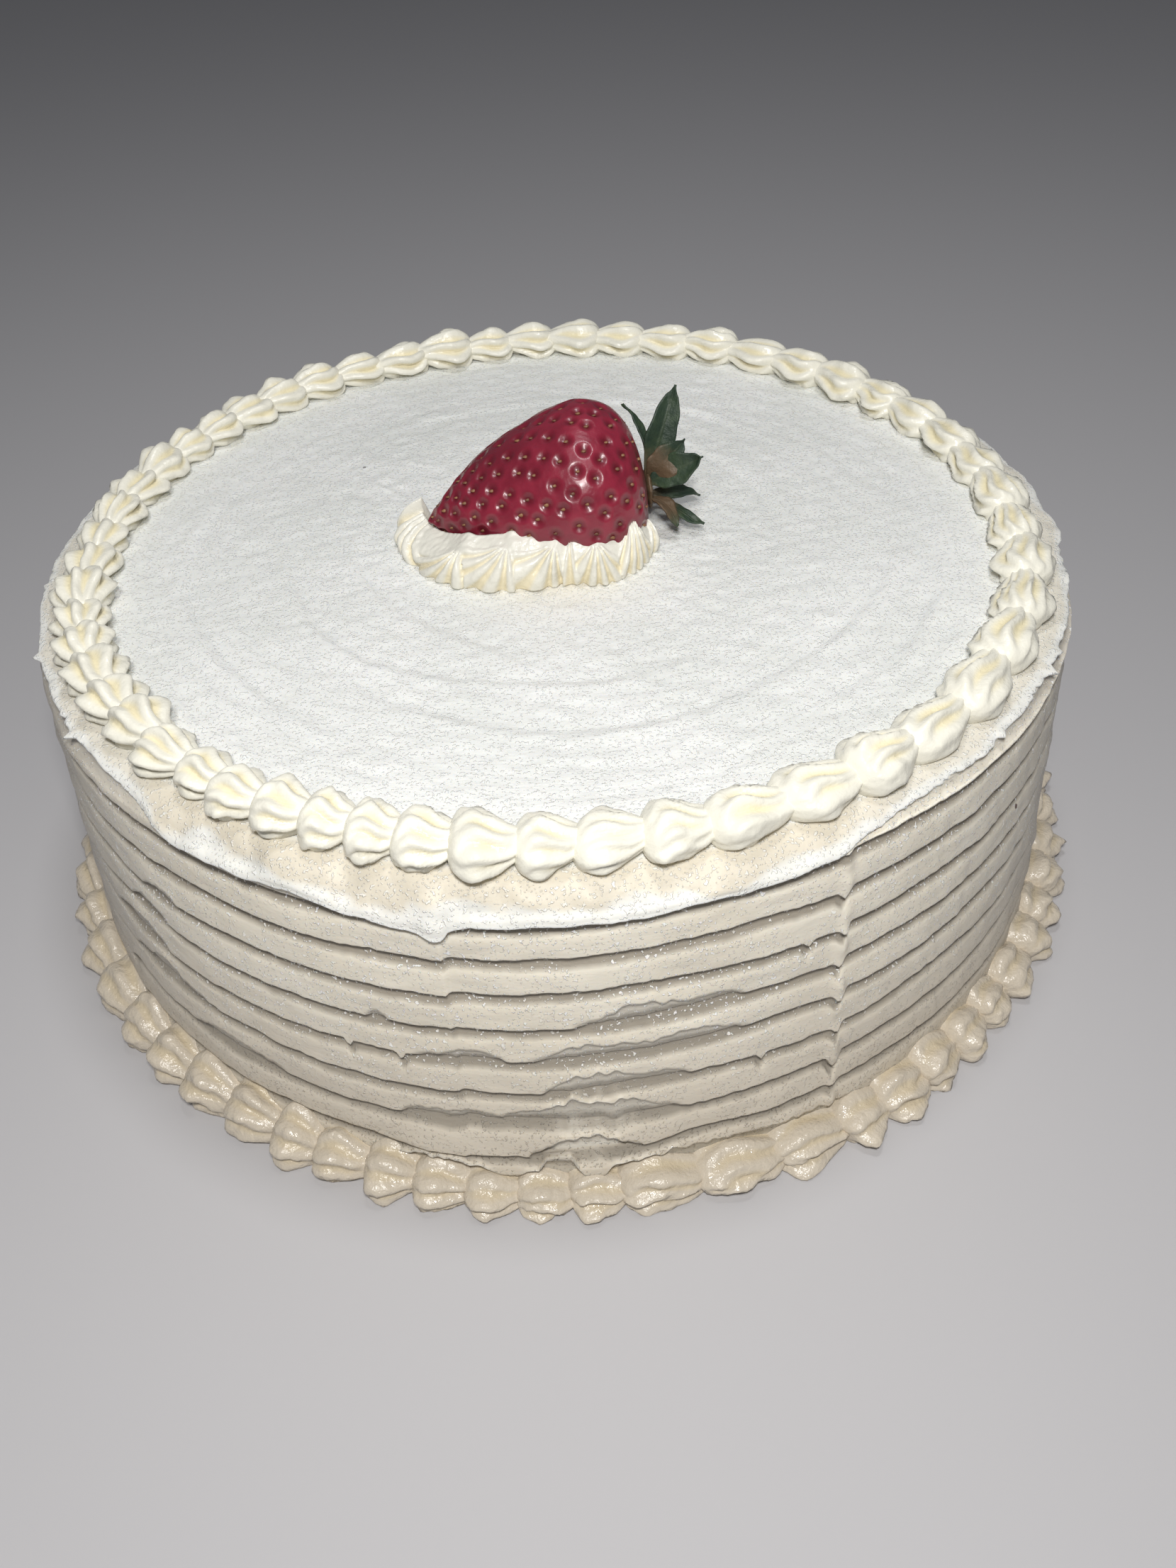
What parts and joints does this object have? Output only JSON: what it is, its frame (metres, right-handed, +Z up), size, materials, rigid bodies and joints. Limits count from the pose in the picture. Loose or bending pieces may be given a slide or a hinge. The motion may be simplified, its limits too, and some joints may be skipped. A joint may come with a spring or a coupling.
{
  "type": "layer cake",
  "caption": "Round white-iced layer cake with a combed side, piped shell borders round rim and foot, and a strawberry held by a short row of shells on top.",
  "frame": {"origin": "middle of the flat base of the cake, on the surface that it stands on", "axes": "+Z up along the cake's own axis, -Y towards the viewer of the picture, +X to the viewer's right, where the strawberry's leaves point"},
  "size_m": [0.2741, 0.2738, 0.1204],
  "materials": {
    "white_icing": "soft white butter icing, combed, slightly moist",
    "piped_cream": "glossy piped cream icing, yellower in the grooves",
    "strawberry_flesh": "wet shiny skin with seeds in dimples",
    "strawberry_leaf": "dull leaf, brown near the stalk"
  },
  "bodies": {
    "root": {"cake_body": "white_icing", "top_shell_border": "piped_cream", "bottom_shell_border": "piped_cream", "centre_shell_row": "piped_cream", "strawberry": "strawberry_flesh", "strawberry_calyx": "strawberry_leaf"}
  },
  "joints": []
}
